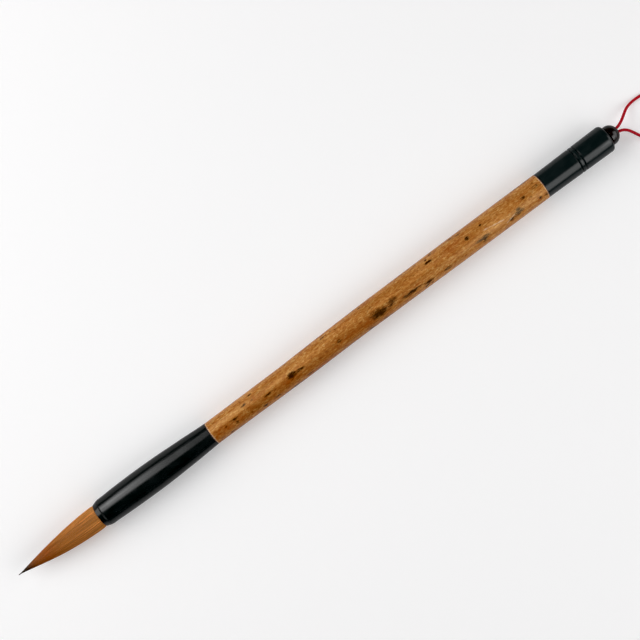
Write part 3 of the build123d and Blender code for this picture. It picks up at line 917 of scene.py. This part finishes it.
def strand_length(start, end):
    """The strands between two distances in front of the mouth."""
    points, faces, flat_map, tints = [], [], [], []
    corners = np.array([0, 2, 4]) * math.pi / 3
    for number, strand in enumerate(strands):
        last = min(end, strand["length"])
        if last - start < 1.0 * MM:
            continue
        count = max(3, int((last - start) / (1.5 * MM)) + 1)
        first = len(points)
        spot_u, spot_v = (number % MAP_COLUMNS) / MAP_COLUMNS, (number // MAP_COLUMNS) / MAP_ROWS
        for step, distance in enumerate(np.linspace(start, last, count)):
            centre, turn = strand_spot(strand, distance)
            thin = 1 - max(0.0, (distance / strand["length"] - 0.35) / 0.65) ** 1.3 * strand["taper"]
            outward = np.array([0, math.sin(turn), math.cos(turn)])
            beside = np.array([0, math.cos(turn), -math.sin(turn)])
            for corner in corners:
                offset = outward * math.cos(corner) + beside * math.sin(corner)
                points.append(centre + offset * thin * strand["width"] / 2)
                tints.append((distance / hair_length, strand["tone"], strand["shade"]))
        for step in range(count - 1):
            for corner in range(3):
                beside = (corner + 1) % 3
                row, above = first + 3 * step, first + 3 * step + 3
                faces.append([row + corner, row + beside, above + beside, above + corner])
                edges = (corner, corner + 1, corner + 1, corner)
                ends = (step, step, step + 1, step + 1)
                u = [spot_u + (0.1 + 0.25 * edge) / MAP_COLUMNS for edge in edges]
                v = [spot_v + (0.05 + 0.9 * end / (count - 1)) / MAP_ROWS for end in ends]
                flat_map += list(zip(u, v))
        for row, order in ((first, (2, 1, 0)), (first + 3 * count - 3, (0, 1, 2))):
            faces.append([row + corner for corner in order])
            flat_map += [(spot_u + 0.9 / MAP_COLUMNS, spot_v + 0.5 / MAP_ROWS)] * 3
    return np.array(points), faces, flat_map, np.array(tints)


def inner_form(start, end):
    """The grooved bulk under the strands, closed at both ends."""
    around, gap = 150, 0.9 * MM
    distances = np.linspace(start, end, max(8, int((end - start) / gap)))
    turns = np.arange(around) * 2 * math.pi / around
    rings, tints = [], []
    for distance in distances:
        radius = float(tuft_radius(max(distance, 0)))
        for turn in turns:
            grain = Vector((math.cos(turn) * 30, math.sin(turn) * 30, distance / (25 * MM)))
            groove = 0.12 + 0.05 * lock_depth(turn, distance) + 0.02 * noise.noise(grain)
            reach = max(radius * (1 - groove) - 0.02 * MM, 0.006 * MM)
            reach = min(reach, 4.3 * MM) if distance < 0 else reach
            x = mouth_x - distance
            rings.append((x, float(bow(x)) + reach * math.sin(turn), axis_z + reach * math.cos(turn)))
            tints.append((max(distance, 0) / hair_length, 0.35, 0.35))
    faces, spots = grid_faces(len(distances), around, joined=False)
    faces = [face[::-1] for face in faces]
    spots = spots.reshape(-1, 4, 2)[:, ::-1].reshape(-1, 2)
    flat_map = np.stack([spots[:, 1] / around, 0.955 + 0.04 * spots[:, 0] / (len(distances) - 1)], axis=1)
    caps = [list(range(around))[::-1], list(range((len(distances) - 1) * around, len(distances) * around))]
    disc = [(0.99, 0.953)] * (2 * around)
    return np.array(rings), faces + caps, list(map(tuple, flat_map)) + disc, np.array(tints)


def comb_length(name, start, end):
    """One piece of the tuft: strands over the inner form."""
    points, faces, flat_map, tints = strand_length(start, end)
    more, more_faces, more_map, more_tints = inner_form(start, end)
    faces += [[len(points) + corner for corner in face] for face in more_faces]
    tints = {"hair_tint": np.concatenate([tints, more_tints])}
    return make_piece(name, np.concatenate([points, more]), faces, flat_map + more_map, tints)


near_hair = comb_length("near_hair", INSIDE, SPLIT)
far_hair = comb_length("far_hair", SPLIT, hair_length + HAIR_WISP)

# %% [markdown]
# ## Hair colour
# Each hair is golden brown where it leaves the ferrule, redder as it thins, and nearly black at
# the point, where the guard hairs' dark ends come together. Single hairs are paler or darker.

# %% Colour the hair
GOLDEN = (1.0, 0.72, 0.42, 1)
hair = new_finish("golden_hair", Roughness=0.42, Specular_IOR_Level=0.3, Specular_Tint=GOLDEN)
hair_tint = add_node(hair, "Attribute", attribute_name="hair_tint").outputs["Color"]
tints = add_node(hair, "SeparateColor", {"Color": hair_tint})
ragged = combine(hair, combine(hair, tints.outputs["Green"], 0.5, "SUBTRACT"), 0.07, "MULTIPLY")
along = ramp(
    hair,
    combine(hair, tints.outputs["Red"], ragged),
    (0.00, paint(216, 148, 80)),
    (0.28, paint(206, 135, 70)),
    (0.48, paint(192, 122, 58)),
    (0.66, paint(172, 94, 38)),
    (0.80, paint(154, 86, 36)),
    (0.88, paint(96, 58, 38)),
    (0.93, paint(30, 21, 17)),
)
single = ramp(hair, tints.outputs["Blue"], (0.0, 0.52), (0.3, 0.86), (0.8, 1.06), (0.96, 1.3), (1.0, 1.6))
hair_colour = blend_colours(hair, 1.0, along, single, "MULTIPLY")
flecks = stretched_noise(hair, (7, 0.5, 0.5), detail=3)
shading = ramp(hair, flecks, (0.3, 0.82), (0.7, 1.1))
to_shader(hair, "Base Color", blend_colours(hair, 1.0, hair_colour, shading, "MULTIPLY"))
to_shader(hair, "Roughness", ramp(hair, flecks, (0.3, 0.36), (0.7, 0.5)))
for length in (near_hair, far_hair):
    length.data.materials.append(hair)
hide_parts("root_bundle", "belly_cover", "belly_core")
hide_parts("point_hairs")


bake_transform(near_hair)
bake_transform(far_hair)

# %% [markdown]
# ## Inside the ferrule and cap
# The thread that binds the root, the resin behind it and the cord's knot are out of sight, but
# they still get the finish of what they are.

# %% Finish the hidden parts
def plain_finish(name, dark, light, grain, roughness):
    finish = new_finish(name, Roughness=roughness)
    speck = stretched_noise(finish, (grain, grain, grain), detail=3)
    to_shader(finish, "Base Color", ramp(finish, speck, (0.3, dark), (0.7, light)))
    raise_surface(finish, speck, 0.02 * MM)
    return finish


hidden = {
    "root_binding": plain_finish("waxed_thread", paint(196, 176, 140), paint(224, 206, 172), 0.3, 0.7),
    "root_resin": plain_finish("amber_resin", paint(96, 44, 12), paint(136, 70, 20), 1.0, 0.25),
    "cord_knot": silk,
}
for name, finish in hidden.items():
    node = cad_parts[name]
    node.data.materials.clear()
    node.data.materials.append(finish)
print("hidden parts:", sorted(hidden))

# %% [markdown]
# ## Last step
# The view layer is brought up to date.

# %% Update the view layer
bpy.context.view_layer.update()
